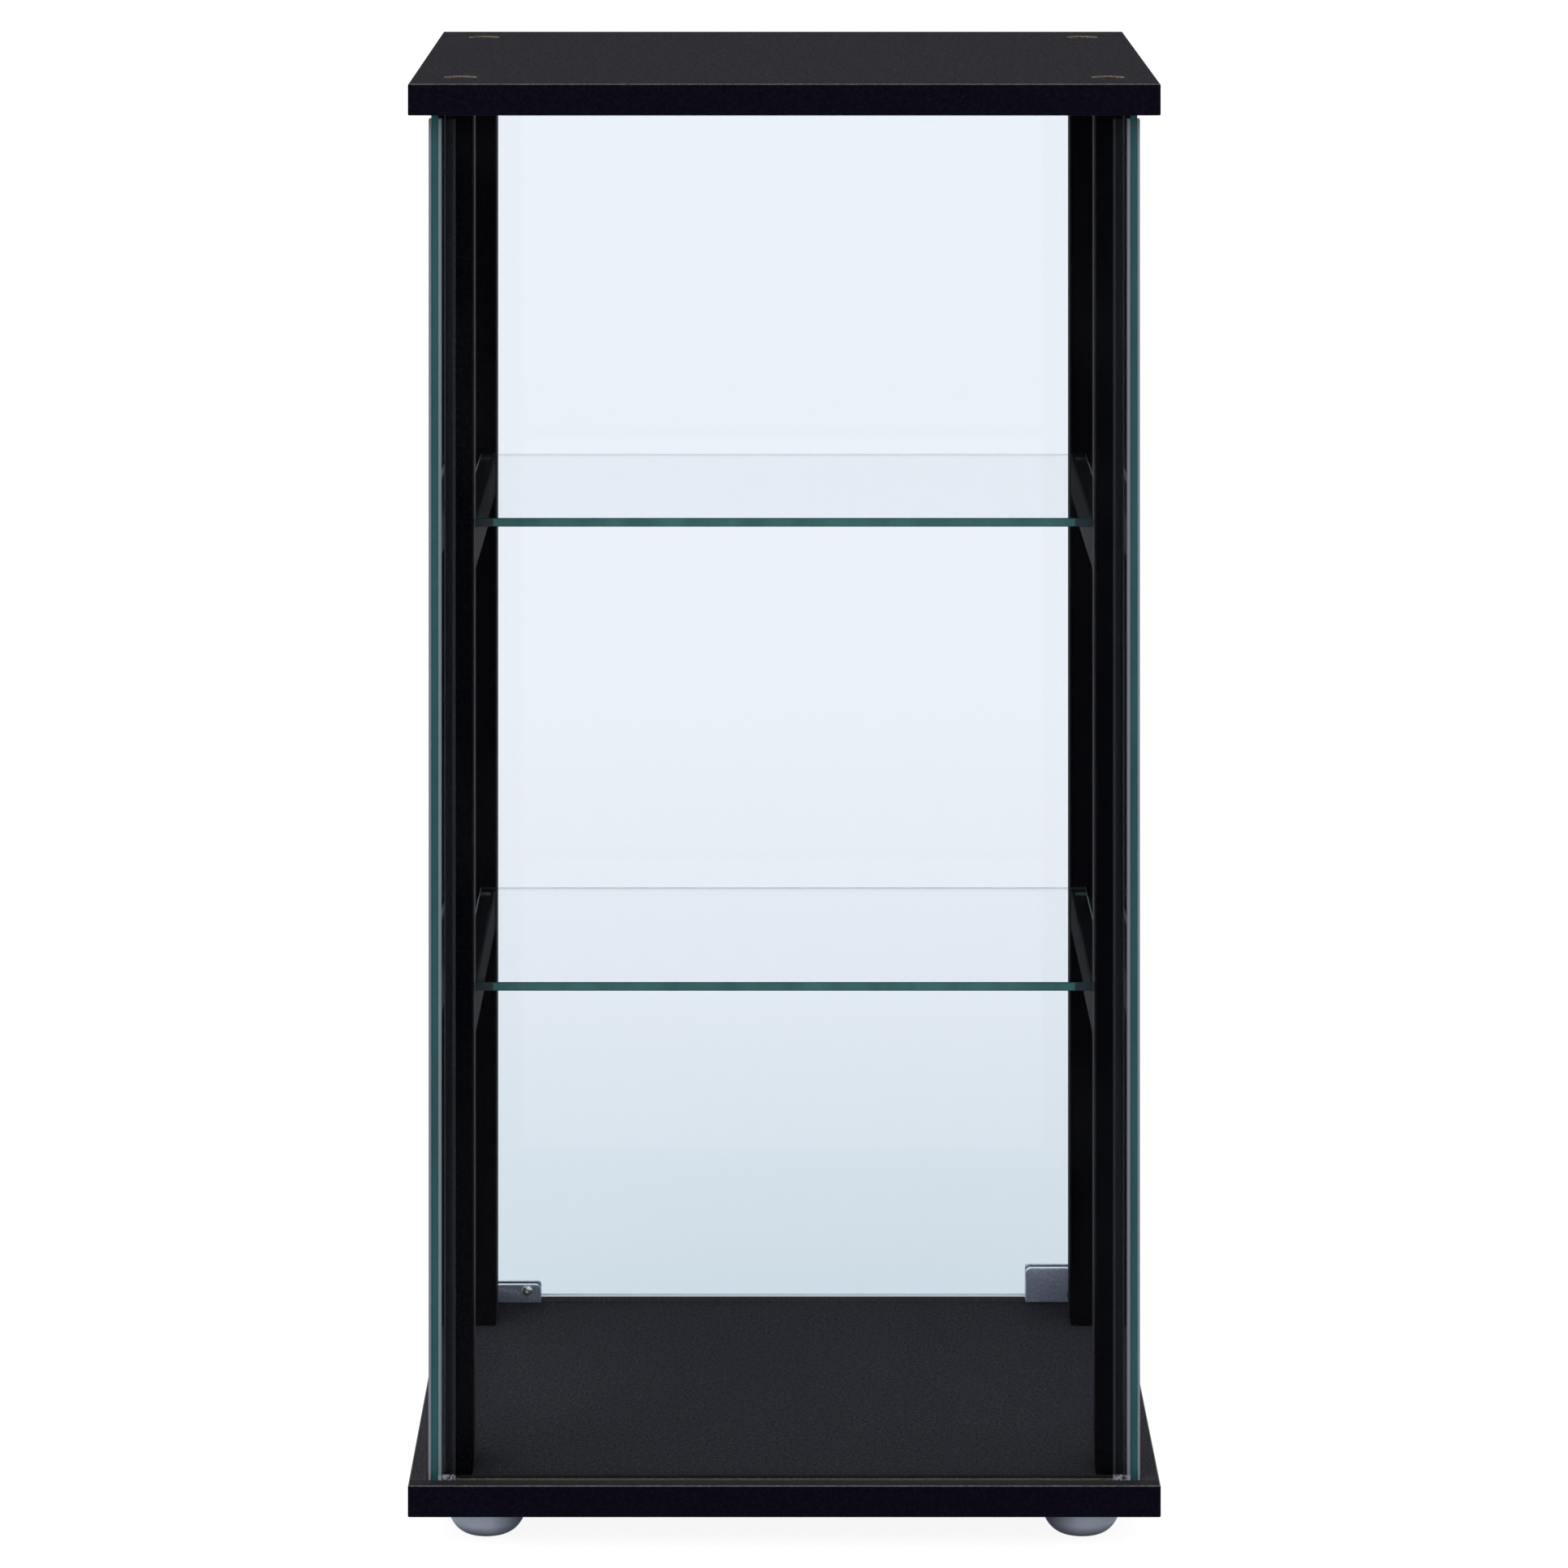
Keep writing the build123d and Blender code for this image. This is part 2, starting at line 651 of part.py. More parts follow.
# Bolts, washers and inserts
base_bolts = make_base_bolts()
washer_z = FOOT_H + COUNTERBORE_D - WASHER_T
base_washers = make_rings(BOLT_POINTS, washer_z, WASHER_T, WASHER_R, WASHER_HOLE_R)
save(base_bolts, "base_bolts")
save(mirrored(base_bolts, MIDDLE), "top_bolts")
save(base_washers, "base_washers")
save(mirrored(base_washers, MIDDLE), "top_washers")
save(make_post_inserts(), "post_inserts")

# Feet
for foot_name, centre in FOOT_POINTS.items():
    save(make_foot(centre), foot_name)
save(make_foot_screws(), "foot_screws")

# Door
hinge_x = (-DOOR_HALF_W, -DOOR_HALF_W + CLIP_L)
strike_x = (DOOR_HALF_W - STRIKE_L, DOOR_HALF_W)
hinge_clip = make_hinge_clip()
hinge_pin = make_hinge_pin()
pivot_bush = make_pivot_bush()
save(make_door_glass(), "door_glass")
save(hinge_clip, "hinge_clip_lower")
save(mirrored(hinge_clip, MIDDLE), "hinge_clip_upper")
save(hinge_pin, "hinge_pin_lower")
save(mirrored(hinge_pin, MIDDLE), "hinge_pin_upper")
save(make_lower_and_upper(make_liner(hinge_x, CLIP_H)), "hinge_liners")
save(make_lower_and_upper(make_clip_screw()), "hinge_screws")
save(pivot_bush, "pivot_bush_lower")
save(mirrored(pivot_bush, MIDDLE), "pivot_bush_upper")
save(make_clip(strike_x, STRIKE_H), "strike_plate")
save(make_liner(strike_x, STRIKE_H), "strike_liner")

# Touch latch
save(make_latch_body(), "latch_body")
save(make_latch_plunger(), "latch_plunger")
save(make_latch_magnet(), "latch_magnet")
save(make_latch_spring(), "latch_spring")
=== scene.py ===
"""Looks of the tower display case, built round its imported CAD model.

Metres, +Z up, in the CAD model's frame: -Y is the front, +Y the rear with the door.
"""
import json
import math

import bmesh
import bpy
from mathutils import Matrix, Vector

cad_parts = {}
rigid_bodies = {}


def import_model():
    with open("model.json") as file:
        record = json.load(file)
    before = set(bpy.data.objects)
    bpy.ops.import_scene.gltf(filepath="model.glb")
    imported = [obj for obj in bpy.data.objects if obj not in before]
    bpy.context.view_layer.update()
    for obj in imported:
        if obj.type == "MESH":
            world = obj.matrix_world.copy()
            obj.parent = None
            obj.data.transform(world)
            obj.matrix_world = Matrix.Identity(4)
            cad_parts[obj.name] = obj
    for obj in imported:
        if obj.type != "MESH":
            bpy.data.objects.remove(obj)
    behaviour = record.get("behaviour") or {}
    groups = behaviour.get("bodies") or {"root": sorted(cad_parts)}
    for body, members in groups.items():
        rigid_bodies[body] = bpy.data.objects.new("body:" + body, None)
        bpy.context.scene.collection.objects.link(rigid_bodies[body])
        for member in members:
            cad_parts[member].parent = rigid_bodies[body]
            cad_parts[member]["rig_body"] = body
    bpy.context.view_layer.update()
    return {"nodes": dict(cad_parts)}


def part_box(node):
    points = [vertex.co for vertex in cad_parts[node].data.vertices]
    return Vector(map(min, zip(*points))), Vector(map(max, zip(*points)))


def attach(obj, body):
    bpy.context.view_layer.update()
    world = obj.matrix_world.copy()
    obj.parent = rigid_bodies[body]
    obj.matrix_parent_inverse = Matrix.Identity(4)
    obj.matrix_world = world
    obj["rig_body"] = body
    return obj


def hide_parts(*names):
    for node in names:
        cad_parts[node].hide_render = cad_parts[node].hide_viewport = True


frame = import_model()
NODES = frame["nodes"]

# Axes as indices into a point
X, Y, Z = 0, 1, 2
MM = 0.001

# Places taken from the frame
FEET = ("foot_front_left", "foot_front_right", "foot_rear_left", "foot_rear_right")
WASHER_RADIUS = 8.0 * MM
COUNTERBORE_RADIUS = 9.2 * MM
WASHERS_LOW, WASHERS_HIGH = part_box("base_washers")
BOLT_CENTRES = [
    Vector((x, y, 0))
    for x in (WASHERS_LOW.x + WASHER_RADIUS, WASHERS_HIGH.x - WASHER_RADIUS)
    for y in (WASHERS_LOW.y + WASHER_RADIUS, WASHERS_HIGH.y - WASHER_RADIUS)
]

LOWER_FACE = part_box("base_board")[1].z
UPPER_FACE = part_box("top_board")[0].z
OUTER_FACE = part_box("top_board")[1].z
MIDDLE_HEIGHT = (LOWER_FACE + UPPER_FACE) / 2

FRONT_PANE_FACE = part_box("front_glass")[0].y
SIDE_PANE_INNER, SIDE_PANE_OUTER = (corner.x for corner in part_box("side_glass_right"))
STRIP_LIP, STRIP_OUTER = (corner.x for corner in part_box("corner_strip_right"))
POST_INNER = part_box("post_front_right")[0].x
POST_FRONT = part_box("post_front_left")[0].y
POST_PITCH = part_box("post_rear_left")[0].y - POST_FRONT
FOOT_X = sum(corner.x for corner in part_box("foot_front_right")) / 2

# From the front edge of the front groove to the pane in it
GROOVE_TO_PANE = 3.0 * MM
# Gap between the side panes and the strips round their front edges
STRIP_GAP = 0.15 * MM
# How far up the door glass its painted shade fades out
DOOR_SHADE_HEIGHT = 0.27

# Camera: where it stands, and the direction it looks in
CAMERA_PLACE = (-0.0075, -3.570, 1.131)
CAMERA_AIM = (0.00212, 0.97951, -0.20136)
CAMERA_LENS = 140.66

# Brightness of the sky: a range of the direction looked in, along one axis, and what it
# gives at the ends. It is a little dimmer low down in front, where the camera stands, and a
# little brighter on the left
SKY_FRONT_TO_REAR = ("Y", (-0.9, -0.1), (0.95, 1.22))
SKY_LOW_TO_HIGH = ("Z", (0.1, 0.5), (0.0, 1.15))
SKY_LEFT_TO_RIGHT = ("X", (-1.0, 1.0), (1.15, 0.85))

FLOOR_HALF_SIZE = 60.0
FLOOR_ALBEDO = 0.22
# The floor's own glow near the case and far from it, and the distances where it changes; the
# weaker glow near the case is painted shade round it
FLOOR_GLOW = (0.91, 1.00)
FLOOR_GLOW_RADII = (0.65, 2.4)


# ---------------------------------------------------------------- shader nodes


class Shader:
    """A new material and short calls that add nodes to it."""

    def __init__(self, name):
        self.material = bpy.data.materials.new(name)
        self.material.use_nodes = True
        self.tree = self.material.node_tree
        self.tree.nodes.clear()
        self.output = self.add("ShaderNodeOutputMaterial")
        self.place = self.add("ShaderNodeTexCoord").outputs["Object"]

    def add(self, kind, options=None, **inputs):
        """Adds a node; an input is a value or another node's output."""
        node = self.tree.nodes.new(kind)
        for name, value in (options or {}).items():
            setattr(node, name, value)
        for name, value in inputs.items():
            self.set(node.inputs[name.replace("_", " ")], value)
        return node

    def set(self, socket, value):
        if isinstance(value, bpy.types.NodeSocket):
            self.tree.links.new(value, socket)
        else:
            socket.default_value = value

    def noise(self, scale, detail=2.0, stretch=(1, 1, 1), roughness=0.5):
        """Noise from 0 to 1, with `scale` features to the metre, stretched by axis."""
        mapping = self.add("ShaderNodeMapping", Vector=self.place, Scale=stretch)
        texture = self.add(
            "ShaderNodeTexNoise",
            Vector=mapping.outputs["Vector"],
            Scale=scale,
            Detail=detail,
            Roughness=roughness,
        )
        return texture.outputs["Fac"]

    def spots(self, scale, radius):
        """1 inside sparse round spots, 0 outside."""
        texture = self.add("ShaderNodeTexVoronoi", Vector=self.place, Scale=scale)
        return self.span(texture.outputs["Distance"], (radius, radius * 0.6))

    def span(self, value, source, target=(0.0, 1.0)):
        """Maps a range to another, clamped."""
        node = self.add(
            "ShaderNodeMapRange",
            Value=value,
            From_Min=source[0],
            From_Max=source[1],
            To_Min=target[0],
            To_Max=target[1],
        )
        return node.outputs["Result"]

    def math(self, operation, *values):
        node = self.add("ShaderNodeMath", {"operation": operation})
        for socket, value in zip(node.inputs, values):
            self.set(socket, value)
        return node.outputs[0]

    def along(self, axis):
        """Place of the shaded point on one axis, in metres."""
        return self.add("ShaderNodeSeparateXYZ", Vector=self.place).outputs[axis]

    def grazing(self, reflectance, most=1.0):
        """Share mirrored: `reflectance` head on, rising to `most` at a grazing angle."""
        facing = self.add("ShaderNodeLayerWeight", Blend=0.5).outputs["Facing"]
        steep = self.math("POWER", facing, 5.0)
        return self.math("MULTIPLY_ADD", steep, most - reflectance, reflectance)

    def glossy(self, roughness):
        return self.add("ShaderNodeBsdfAnisotropic", Roughness=roughness).outputs[0]

    def colour(self, factor, first, second):
        """Mix of two colours, given as (r, g, b) or outputs.

        Inputs 6 and 7 and output 2 are the node's own sockets for colours.
        """
        node = self.add("ShaderNodeMix", {"data_type": "RGBA"})
        self.set(node.inputs["Factor"], factor)
        for socket, value in ((node.inputs[6], first), (node.inputs[7], second)):
            self.set(socket, (*value, 1.0) if isinstance(value, tuple) else value)
        return node.outputs[2]

    def bump(self, height, depth):
        """Normal from a height of 0 to 1 that stands for `depth` metres."""
        return self.add("ShaderNodeBump", Height=height, Distance=depth).outputs["Normal"]

    def principled(self, **inputs):
        return self.add("ShaderNodeBsdfPrincipled", **inputs).outputs["BSDF"]

    def mix(self, factor, first, second):
        node = self.add("ShaderNodeMixShader")
        self.set(node.inputs[0], factor)
        self.set(node.inputs[1], first)
        self.set(node.inputs[2], second)
        return node.outputs[0]

    def done(self, surface):
        self.set(self.output.inputs["Surface"], surface)
        return self.material


# ------------------------------------------------------------------- materials


def scaled(colour, factor):
    """Darker or lighter shade of a colour."""
    return tuple(channel * factor for channel in colour)


def laminate(name, tint, reflectance, most, roughness, torn=None, shaded_where=None, painted_sheen=None):
    """Black melamine film with a fine grain, faint smudges and specks of dust.

    `most` is the share it mirrors at a grazing angle. `torn` gives the distance from an
    edge where the film has come away from the brown board. The next argument gives 1
    where the film is painted darker, as painted shade, and 0 elsewhere. The last argument
    gives a factor for what it mirrors, a painted sheen where it is large.
    """
    s = Shader(name)
    pearl = s.noise(2600, 2)
    grain = s.noise(640, 5, (1, 0.6, 1), 0.65)
    smudge = s.noise(14, 3)
    film = s.colour(s.span(grain, (0.35, 0.68)), scaled(tint, 0.62), scaled(tint, 1.55))
    dust_and_shade = s.colour(s.spots(60, 0.016), film, tuple(channel + 0.06 for channel in tint))
    # Painted shade: darker film where the mask is 1
    if shaded_where:
        dust_and_shade = s.colour(shaded_where(s), dust_and_shade, scaled(tint, 0.66))
    if torn:
        ragged = s.math("MULTIPLY_ADD", s.noise(650, 4), -1.5 * MM, torn(s))
        held = s.span(ragged, (-0.55 * MM, -0.45 * MM))
        fibres = s.colour(s.noise(1400, 3), (0.10, 0.08, 0.055), (0.30, 0.25, 0.18))
        dust_and_shade = s.colour(held, fibres, dust_and_shade)
    body = s.principled(
        Base_Color=dust_and_shade, Roughness=0.7, Specular_IOR_Level=0.0, Normal=s.bump(pearl, 0.02 * MM)
    )
    rough = s.span(smudge, (0.3, 0.7), (roughness - 0.06, roughness + 0.06))
    mirrored = s.grazing(reflectance, most)
    # Painted sheen: what it mirrors is scaled by the given factor
    if painted_sheen:
        mirrored = s.math("MULTIPLY", mirrored, painted_sheen(s))
    return s.done(s.mix(mirrored, body, s.glossy(rough)))


def bolt_hole_edges(s):
    """Distance outwards from the rim of the nearest bolt hole."""
    away = [
        s.math("SUBTRACT", s.math("ABSOLUTE", s.along(axis)), max(c[axis] for c in BOLT_CENTRES))
        for axis in (X, Y)
    ]
    squares = [s.math("MULTIPLY", value, value) for value in away]
    length = s.math("SQRT", s.math("ADD", *squares))
    return s.math("SUBTRACT", length, COUNTERBORE_RADIUS)


def in_front_of_groove(s):
    """1 on the base's lip in front of the front pane's groove, where the film is painted darker
    as shade, and 0 elsewhere.
    """
    return s.math("LESS_THAN", s.along(Y), FRONT_PANE_FACE - GROOVE_TO_PANE)


def towards_post_rear(s):
    """1 on the rear half of a front or rear post, small on its front half; it scales the posts'
    painted sheen.
    """
    middle, blur = 20 * MM, 3 * MM
    depth = s.math("MODULO", s.math("SUBTRACT", s.along(Y), POST_FRONT), POST_PITCH)
    return s.span(depth, (middle - blur, middle + blur), (0.12, 1.0))


def raw_board(name, brown_beyond=0.0):
    """Bare fibreboard where the film has been cut through.

    It is near black except beyond a ragged line, given as a distance up or down from
    the middle of the case.
    """
    s = Shader(name)
    fibres = s.noise(900, 4, (1, 1, 2.5))
    dark = s.colour(s.noise(160, 2), (0.085, 0.068, 0.048), (0.135, 0.108, 0.076))
    brown = s.colour(s.span(fibres, (0.35, 0.7)), dark, (0.235, 0.195, 0.140))
    if brown_beyond:
        off_middle = s.math("ABSOLUTE", s.math("SUBTRACT", s.along(Z), MIDDLE_HEIGHT))
        ragged = s.math("MULTIPLY_ADD", s.noise(800, 3), 1.0 * MM, off_middle)
        line = brown_beyond + 0.5 * MM
        bare = s.span(ragged, (line - 0.1 * MM, line + 0.1 * MM))
        brown = s.colour(bare, (0.006, 0.0055, 0.005), brown)
    return s.done(s.principled(Base_Color=brown, Roughness=0.85, Normal=s.bump(fibres, 0.2 * MM)))


def glass_face(name, tint, reflectance, film=(1.0, 1.0, 1.0)):
    """Surface of a thin sheet: it tints what is behind it and mirrors what is in front.

    Towards the base the last argument darkens what it lets through, a painted shade for the
    shaded floor seen through it. Seen almost edge on, what gets through has crossed so much
    glass that it is dark.
    """
    s = Shader(name)
    haze = s.noise(9, 3)
    shaded_tint = tuple(channel * share for channel, share in zip(tint, film))
    height = s.span(s.along(Z), (LOWER_FACE, LOWER_FACE + DOOR_SHADE_HEIGHT))
    edge_on = s.span(s.grazing(0.0), (0.35, 0.75))
    through = s.colour(edge_on, s.colour(height, shaded_tint, tint), (0.01, 0.03, 0.03))
    clear = s.add("ShaderNodeBsdfTransparent", Color=through).outputs[0]
    dust = s.add("ShaderNodeBsdfDiffuse", Color=(0.8, 0.82, 0.85, 1.0)).outputs[0]
    veiled = s.mix(s.span(haze, (0.5, 0.8), (0.0, 0.0016)), clear, dust)
    return s.done(s.mix(s.grazing(reflectance), veiled, s.glossy(0.02)))


def glass_slab(name, tint):
    """Thick sheet that bends what is seen through it and lets lamps and sky light through."""
    s = Shader(name)
    bent = s.add("ShaderNodeBsdfGlass", Color=(*tint, 1.0), Roughness=0.0, IOR=1.52).outputs[0]
    clear = s.add("ShaderNodeBsdfTransparent", Color=(*tint, 1.0)).outputs[0]
    path = s.add("ShaderNodeLightPath").outputs
    lighting = s.math("MAXIMUM", path["Is Shadow Ray"], path["Is Diffuse Ray"])
    return s.done(s.mix(lighting, bent, clear))


def glass_edge(name, deep, pale, clearness=0.0, darker_beyond=0.0, gloss=0.3):
    """Ground edge of a sheet, where light that has travelled through the glass comes out green.

    Further from the middle of the case than `darker_beyond`, the posts keep the light out.
    """
    s = Shader(name)
    streaks = s.noise(60, 3, (1, 1, 0.25))
    green = s.colour(s.span(streaks, (0.3, 0.7)), deep, pale)
    if darker_beyond:
        outward = s.math("ABSOLUTE", s.along(X))
        unlit = s.span(outward, (darker_beyond - 0.5 * MM, darker_beyond + 0.5 * MM))
        green = s.colour(unlit, green, (0.010, 0.026, 0.034))
    body = s.principled(Base_Color=green, Roughness=0.28, Specular_IOR_Level=gloss)
    if clearness == 0.0:
        return s.done(body)
    clear = s.add("ShaderNodeBsdfTransparent", Color=(0.9, 0.95, 0.95, 1.0)).outputs[0]
    return s.done(s.mix(clearness, body, clear))


def clear_plastic(name, haze, most, legs=()):
    """Extruded plastic with drawing marks: clear, but cloudy where a leg is seen edge on.

    `most` is the share it mirrors at a grazing angle. A leg is a stretch outwards from the
    middle of the case, from one distance to another, and its cloudiness. Just above the
    base the saw has left the strip's lip frosted.
    """
    s = Shader(name)
    marks = s.noise(1100, 2, (1, 1, 0.003))
    clear = s.add("ShaderNodeBsdfTransparent", Color=(0.93, 0.94, 0.95, 1.0)).outputs[0]
    share = s.span(marks, (0.4, 0.65), (haze * 0.2, haze * 2.4))
    if legs:
        outward = s.math("ABSOLUTE", s.along(X))
        for start, end, cloudiness in legs:
            inside = s.math("COMPARE", outward, (start + end) / 2, (end - start) / 2)
            share = s.math("MULTIPLY_ADD", inside, cloudiness, share)
    low = s.span(s.along(Z), (LOWER_FACE + 2.6 * MM, LOWER_FACE + 2.3 * MM))
    inward = s.math("LESS_THAN", s.math("ABSOLUTE", s.along(X)), SIDE_PANE_INNER)
    behind = s.math("GREATER_THAN", s.along(Y), FRONT_PANE_FACE)
    sawn = s.math("MULTIPLY", s.math("MULTIPLY", low, inward), s.math("SUBTRACT", 1.0, behind))
    crumbs = s.span(s.noise(700, 3), (0.42, 0.60), (0.05, 0.8))
    frosted = s.math("MULTIPLY", sawn, crumbs)
    share = s.math("MAXIMUM", share, frosted)
    tone = s.colour(sawn, (0.172, 0.196, 0.236), (0.30, 0.31, 0.37))
    cloudy = s.principled(Base_Color=tone, Roughness=0.45, Specular_IOR_Level=0.2)
    body = s.mix(share, clear, cloudy)
    return s.done(s.mix(s.grazing(0.0006, most), body, s.glossy(0.12)))


def moulded_plastic(name, colour, roughness, painted_shade_rows=()):
    """Moulded skin with faint flow marks.

    Each row of the last argument is an axis and the range of places along it across which a
    painted shade fades out: darker before the range, the plain tone after it.
    """
    s = Shader(name)
    skin = s.noise(1500, 2)
    flow = s.noise(45, 2)
    tone = s.colour(s.span(flow, (0.3, 0.7)), colour, scaled(colour, 1.12))
    painted_dark = tuple(channel * share for channel, share in zip(colour, (0.10, 0.12, 0.15)))
    # Painted shade along each axis
    for axis, fade in painted_shade_rows:
        place = s.math("ABSOLUTE", s.along(axis))
        ragged = s.math("MULTIPLY_ADD", s.noise(420, 3), 1.0 * MM, place)
        tone = s.colour(s.span(ragged, fade), painted_dark, tone)
    rough = s.span(flow, (0.3, 0.7), (roughness - 0.04, roughness + 0.05))
    body = s.principled(
        Base_Color=tone, Roughness=0.8, Specular_IOR_Level=0.0, Normal=s.bump(skin, 0.03 * MM)
    )
    return s.done(s.mix(s.grazing(0.02, 0.12), body, s.glossy(rough)))


def cast_metal(name, colour, metallic):
    """Tumbled and lacquered zinc casting, mottled at the scale of its grain."""
    s = Shader(name)
    mottle = s.noise(700, 4)
    tone = s.colour(s.span(mottle, (0.35, 0.68)), colour, scaled(colour, 1.4))
    rough = s.span(mottle, (0.3, 0.7), (0.34, 0.50))
    relief = s.bump(mottle, 0.08 * MM)
    body = s.principled(Base_Color=tone, Metallic=metallic, Roughness=rough, Normal=relief)
    return s.done(body)


def plated_steel(name, colour, roughness, metallic=1.0):
    """Plated and turned steel with faint stains."""
    s = Shader(name)
    turning = s.noise(1800, 2, (1, 1, 6))
    stain = s.noise(260, 3)
    tone = s.colour(s.span(stain, (0.4, 0.8)), colour, scaled(colour, 0.72))
    rough = s.span(turning, (0.3, 0.7), (roughness * 0.7, roughness * 1.4))
    relief = s.bump(turning, 0.02 * MM)
    body = s.principled(Base_Color=tone, Metallic=metallic, Roughness=rough, Normal=relief)
    return s.done(body)


def soft_rubber(name):
    """Clear silicone of the pads and liners."""
    s = Shader(name)
    cloud = s.noise(400, 2)
    clear = s.add("ShaderNodeBsdfTransparent", Color=(0.86, 0.88, 0.89, 1.0)).outputs[0]
    body = s.principled(Base_Color=(0.62, 0.64, 0.66, 1.0), Roughness=0.35)
    return s.done(s.mix(s.span(cloud, (0.3, 0.7), (0.10, 0.18)), clear, body))


def beech(name):
    """Bare wood of the dowels."""
    s = Shader(name)
    rings = s.noise(500, 4, (1, 0.06, 1))
    tone = s.colour(s.span(rings, (0.3, 0.7)), (0.45, 0.29, 0.16), (0.62, 0.44, 0.27))
    return s.done(s.principled(Base_Color=tone, Roughness=0.6, Normal=s.bump(rings, 0.1 * MM)))


# Painted light: one black film in two shades; the boards' inner faces take this lighter one,
# their outer faces the darker one after it
FILM_PAINTED_LIGHTER = laminate(
    "black_laminate_film_painted_lighter",
    tint=(0.0265, 0.0260, 0.0305),
    reflectance=0.0050,
    most=0.0055,
    roughness=0.4,
    shaded_where=in_front_of_groove,
)
FILM_DRILLED = laminate(
    "black_laminate_round_holes",
    tint=(0.0190, 0.0186, 0.0222),
    reflectance=0.0028,
    most=0.0033,
    roughness=0.4,
    torn=bolt_hole_edges,
)
BAND = laminate(
    "black_edge_band",
    tint=(0.0031, 0.0028, 0.0070),
    reflectance=0.0012,
    most=0.25,
    roughness=0.5,
)
# Painted highlight: lighter film for the rounded edges that face up
ARRIS_HIGHLIGHT = laminate(
    "arris_painted_highlight",
    tint=(0.062, 0.060, 0.062),
    reflectance=0.006,
    most=0.3,
    roughness=0.35,
)
RAIL_FILM = laminate(
    "black_frame_film",
    tint=(0.0013, 0.0012, 0.0024),
    reflectance=0.0008,
    most=0.085,
    roughness=0.45,
)
# Painted sheen: the posts mirror more towards their rear faces
POST_FILM = laminate(
    "black_post_film",
    tint=(0.0019, 0.0018, 0.0031),
    reflectance=0.0008,
    most=0.115,
    roughness=0.45,
    painted_sheen=towards_post_rear,
)
RAW_HOLE = raw_board("raw_fibreboard_in_hole", OUTER_FACE - MIDDLE_HEIGHT - 0.9 * MM)
RAW_GROOVE = raw_board("raw_fibreboard_in_groove", UPPER_FACE - MIDDLE_HEIGHT + 1.8 * MM)

FRONT_FACE = glass_face("front_glass_face", tint=(0.886, 0.899, 0.915), reflectance=0.0006)
PANE_FACE = glass_face("glass_face", tint=(0.929, 0.945, 0.961), reflectance=0.012)
# Painted shade: the door glass tints what is behind it more towards the base
DOOR_FACE = glass_face(
    "door_glass_face",
    tint=(0.908, 0.920, 0.937),
    reflectance=0.016,
    film=(0.921, 0.963, 0.977),
)
SHELF_FACE = glass_slab("shelf_glass_face", tint=(0.988, 0.996, 1.0))
GLASS_EDGE = glass_edge(
    "glass_edge", deep=(0.006, 0.090, 0.092), pale=(0.010, 0.130, 0.128), gloss=0.1
)
GLASS_ARRIS = glass_edge(
    "glass_arris", deep=(0.003, 0.026, 0.026), pale=(0.006, 0.040, 0.038)
)
FRONT_EDGE = glass_edge(
    "front_glass_edge", deep=(0.004, 0.010, 0.011), pale=(0.006, 0.014, 0.015)
)
# Painted light: the door glass's lower edge is near white, for light that comes out of it
LIT_EDGE = glass_edge(
    "door_glass_lower_edge_painted_light", deep=(0.80, 0.86, 0.88), pale=(0.88, 0.93, 0.95)
)
SHELF_EDGE = glass_edge(
    "shelf_glass_edge",
    deep=(0.034, 0.150, 0.145),
    pale=(0.058, 0.220, 0.208),
    darker_beyond=POST_INNER - 10 * MM,
)
SHELF_REAR = glass_edge(
    "shelf_rear_edge", deep=(0.03, 0.07, 0.07), pale=(0.05, 0.10, 0.10), clearness=0.6
)

STRIP_LEGS = (
    (STRIP_LIP - 0.2 * MM, STRIP_LIP + 1.6 * MM, 0.020),
    (SIDE_PANE_INNER - 1.85 * MM, SIDE_PANE_INNER - STRIP_GAP, 0.78),
    (SIDE_PANE_INNER - STRIP_GAP, SIDE_PANE_OUTER + STRIP_GAP, 0.03),
    (SIDE_PANE_OUTER + STRIP_GAP, STRIP_OUTER + 0.15 * MM, 0.95),
)
STRIP_CLEAR = clear_plastic("strip_clear", haze=0.0045, most=0.05)
STRIP_ENDS = clear_plastic("strip_edge_on", haze=0.0058, most=0.5, legs=STRIP_LEGS)

# Painted shade on the feet: darker low down, where they meet the floor, and towards the middle of
# the case, where they face the shadow under it
FOOT_PAINTED_SHADE = (
    (Z, (1.5 * MM, 9 * MM)),
    (X, (FOOT_X - 19.6 * MM, FOOT_X - 2.6 * MM)),
)
FOOT_PLASTIC = moulded_plastic(
    "foot_plastic", colour=(0.46, 0.515, 0.63), roughness=0.42, painted_shade_rows=FOOT_PAINTED_SHADE
)
BLACK_PLASTIC = moulded_plastic("black_plastic", colour=(0.014, 0.014, 0.015), roughness=0.42)
HINGE_METAL = cast_metal("hinge_metal", colour=(0.335, 0.36, 0.47), metallic=0.5)
# Painted highlight: near-white metal on the clips' rounded edges and upward faces
HINGE_HIGHLIGHT = plated_steel(
    "hinge_edge_painted_highlight", colour=(0.97, 0.97, 0.99), roughness=0.2, metallic=0.6
)
CHROME = plated_steel("chrome", colour=(0.98, 0.98, 0.95), roughness=0.12, metallic=0.85)
ZINC = plated_steel("zinc_plate", colour=(0.62, 0.63, 0.62), roughness=0.28)
RUBBER = soft_rubber("clear_silicone")
BEECH = beech("beech")


# ------------------------------------------------------------- mesh operations


def add_object(name, mesh, body, slot, *stands_for):
    """Puts a finished mesh in the scene as a piece that rides on a body."""
    piece = bpy.data.objects.new(name, mesh)
    bpy.context.scene.collection.objects.link(piece)
    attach(piece, body)
    if stands_for:
        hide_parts(*stands_for)
    return piece


